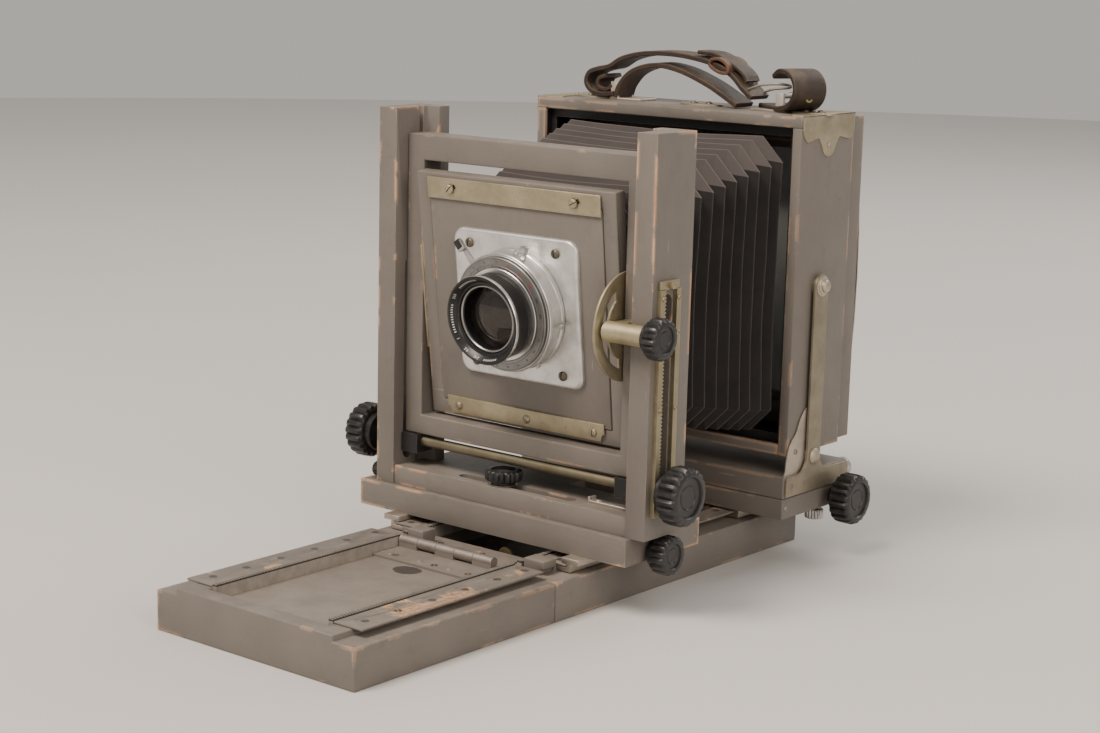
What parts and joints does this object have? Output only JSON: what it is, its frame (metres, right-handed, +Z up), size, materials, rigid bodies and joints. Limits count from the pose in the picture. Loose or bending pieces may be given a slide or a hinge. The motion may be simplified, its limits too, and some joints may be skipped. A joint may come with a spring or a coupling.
{
  "type": "flat bed view camera",
  "caption": "Wooden flat-bed view camera with racked standards, rising and tilting front, bellows, shuttered lens and folding bed; tripod socket under the bed.",
  "frame": {"origin": "mouth of the tripod socket in the underside of the bed, which is the plane the camera stands on", "axes": "+Y runs from the lens to the back, +Z up, +X to the side of the tilt lock knob"},
  "size_m": [0.2707, 0.4439, 0.3254],
  "materials": {
    "painted_wood": "gray brushed enamel on hardwood, worn through at the edges",
    "nickel": "dull yellowed nickel plate",
    "steel": "bright worn steel",
    "knob_black": "black moulded phenolic",
    "satin_alloy": "satin",
    "black_metal": "semi-gloss black",
    "lens_glass": "coated",
    "focusing_glass": "ground",
    "bellows_cloth": "matte rubberised cloth",
    "handle_leather": "old dark leather"
  },
  "bodies": {
    "bed_main": {"bed_main": "painted_wood", "main_rail_l": "nickel", "main_rail_r": "nickel", "main_racks": "nickel", "hinge_rear_leaf": "nickel", "bed_blocks": "painted_wood", "tripod_bush": "nickel"},
    "bed_front": {"bed_front": "painted_wood", "front_panel": "painted_wood", "front_rail_l": "nickel", "front_rail_r": "nickel", "front_racks": "nickel", "hinge_front_leaf": "nickel"},
    "front_carriage": {"front_carriage": "painted_wood", "front_gibs": "nickel"},
    "front_focus_shaft": {"front_focus_shaft": "steel", "front_focus_knob": "knob_black"},
    "shift_knob": {"shift_knob": "knob_black"},
    "front_standard": {"front_base": "painted_wood", "post_l": "painted_wood", "post_r": "painted_wood", "rise_rack_l": "nickel", "rise_rack_r": "nickel", "lever_strip": "nickel"},
    "front_lock_knob": {"front_lock_knob": "knob_black"},
    "rising_frame": {"rising_frame": "painted_wood", "rise_bearings": "black_metal", "tilt_tube": "nickel", "tilt_pivots": "nickel", "bellows": "bellows_cloth"},
    "rise_shaft": {"rise_shaft": "steel", "rise_knob_l": "knob_black", "rise_knob_r": "knob_black"},
    "tilt_knob": {"tilt_knob": "knob_black"},
    "tilt_panel": {"tilt_panel": "painted_wood", "quadrants": "nickel", "bottom_clip": "nickel", "lens_board": "painted_wood", "adapter_plate": "satin_alloy", "shutter_case": "satin_alloy", "front_barrel": "black_metal", "lens_glass": "lens_glass", "rear_cell": "black_metal"},
    "top_clip": {"top_clip": "nickel"},
    "speed_ring": {"speed_ring": "black_metal"},
    "cocking_lever": {"cocking_lever": "satin_alloy"},
    "release_lever": {"release_lever": "satin_alloy"},
    "rear_carriage": {"rear_carriage": "painted_wood", "rear_gibs": "nickel"},
    "rear_focus_shaft": {"rear_focus_shaft": "steel", "rear_focus_knob": "knob_black"},
    "rear_lock_nut": {"rear_lock_nut": "steel"},
    "rear_swing": {"swing_plate": "painted_wood", "side_straps": "nickel"},
    "rear_frame": {"rear_frame": "painted_wood", "corner_guards": "nickel", "handle_brackets": "nickel", "handle_strap": "handle_leather"},
    "back": {"back_frame": "painted_wood", "ground_glass": "focusing_glass"}
  },
  "joints": [
    {"name": "bed_fold", "type": "hinge", "parent": "bed_main", "child": "bed_front", "pos_m": [0, -0.12, 0.0273], "axis": [-1, 0, 0], "range_deg": [0, 88]},
    {"name": "front_focus", "type": "slide", "parent": "bed_main", "child": "front_carriage", "axis": [0, 1, 0], "range_m": [-0.15, 0.03]},
    {"name": "front_focus_turn", "type": "hinge", "parent": "front_carriage", "child": "front_focus_shaft", "pos_m": [0, -0.0654, 0.03825], "axis": [1, 0, 0], "range_deg": [-220, 1080]},
    {"name": "shift_knob_turn", "type": "hinge", "parent": "front_carriage", "child": "shift_knob", "pos_m": [0, -0.076, 0.064], "axis": [0, 0, 1], "continuous": true},
    {"name": "front_shift", "type": "slide", "parent": "front_carriage", "child": "front_standard", "axis": [1, 0, 0], "range_m": [-0.0356, 0.0144]},
    {"name": "front_lock_turn", "type": "hinge", "parent": "front_standard", "child": "front_lock_knob", "pos_m": [-0.0994, -0.0799, 0.0556], "axis": [1, 0, 0], "continuous": true},
    {"name": "front_rise", "type": "slide", "parent": "front_standard", "child": "rising_frame", "axis": [0, 0, 1], "range_m": [0, 0.1], "deforming": ["bellows"]},
    {"name": "rise_turn", "type": "hinge", "parent": "rising_frame", "child": "rise_shaft", "pos_m": [0.0106, -0.074, 0.0782], "axis": [1, 0, 0], "range_deg": [-5, 1175]},
    {"name": "tilt_knob_turn", "type": "hinge", "parent": "rising_frame", "child": "tilt_knob", "pos_m": [0.1206, -0.0945, 0.1725], "axis": [1, 0, 0], "continuous": true},
    {"name": "front_tilt", "type": "hinge", "parent": "rising_frame", "child": "tilt_panel", "pos_m": [0.0107, -0.0715, 0.1725], "axis": [-1, 0, 0], "range_deg": [-8, 22]},
    {"name": "clip_slide", "type": "slide", "parent": "tilt_panel", "child": "top_clip", "axis": [0, -0.1201, 0.9928], "range_m": [0, 0.006]},
    {"name": "speed_turn", "type": "hinge", "parent": "tilt_panel", "child": "speed_ring", "pos_m": [0.0117, -0.07186, 0.17548], "axis": [0, -0.9928, -0.1201], "range_deg": [0, 120]},
    {"name": "cock", "type": "hinge", "parent": "tilt_panel", "child": "cocking_lever", "pos_m": [0.0117, -0.07186, 0.17548], "axis": [0, -0.9928, -0.1201], "range_deg": [0, 40]},
    {"name": "release", "type": "hinge", "parent": "tilt_panel", "child": "release_lever", "pos_m": [0.0117, -0.07186, 0.17548], "axis": [0, -0.9928, -0.1201], "range_deg": [-10, 0], "stiffness_Nm_per_rad": 0.02},
    {"name": "rear_focus", "type": "slide", "parent": "bed_main", "child": "rear_carriage", "axis": [0, 1, 0], "range_m": [-0.06, 0.004]},
    {"name": "rear_focus_turn", "type": "hinge", "parent": "rear_carriage", "child": "rear_focus_shaft", "pos_m": [0, 0.1288, 0.03825], "axis": [1, 0, 0], "range_deg": [-35, 435]},
    {"name": "rear_lock_turn", "type": "hinge", "parent": "rear_carriage", "child": "rear_lock_nut", "pos_m": [0.099, 0.126, 0.025], "axis": [0, 0, 1], "continuous": true},
    {"name": "rear_swing", "type": "hinge", "parent": "rear_carriage", "child": "rear_swing", "pos_m": [0, 0.1101, 0.045], "axis": [0, 0, 1], "range_deg": [-8, 8]},
    {"name": "rear_tilt", "type": "hinge", "parent": "rear_swing", "child": "rear_frame", "pos_m": [0, 0.1042, 0.1798], "axis": [1, 0, 0], "range_deg": [-8, 8]},
    {"name": "back_draw", "type": "slide", "parent": "rear_frame", "child": "back", "axis": [0, 1, 0], "range_m": [0, 0.012]}
  ],
  "couplings": [
    {"joint": "front_focus_turn", "follows": "front_focus", "rad_per_m": -124.22},
    {"joint": "rear_focus_turn", "follows": "rear_focus", "rad_per_m": -124.22},
    {"joint": "rise_turn", "follows": "front_rise", "rad_per_m": 204.08}
  ]
}
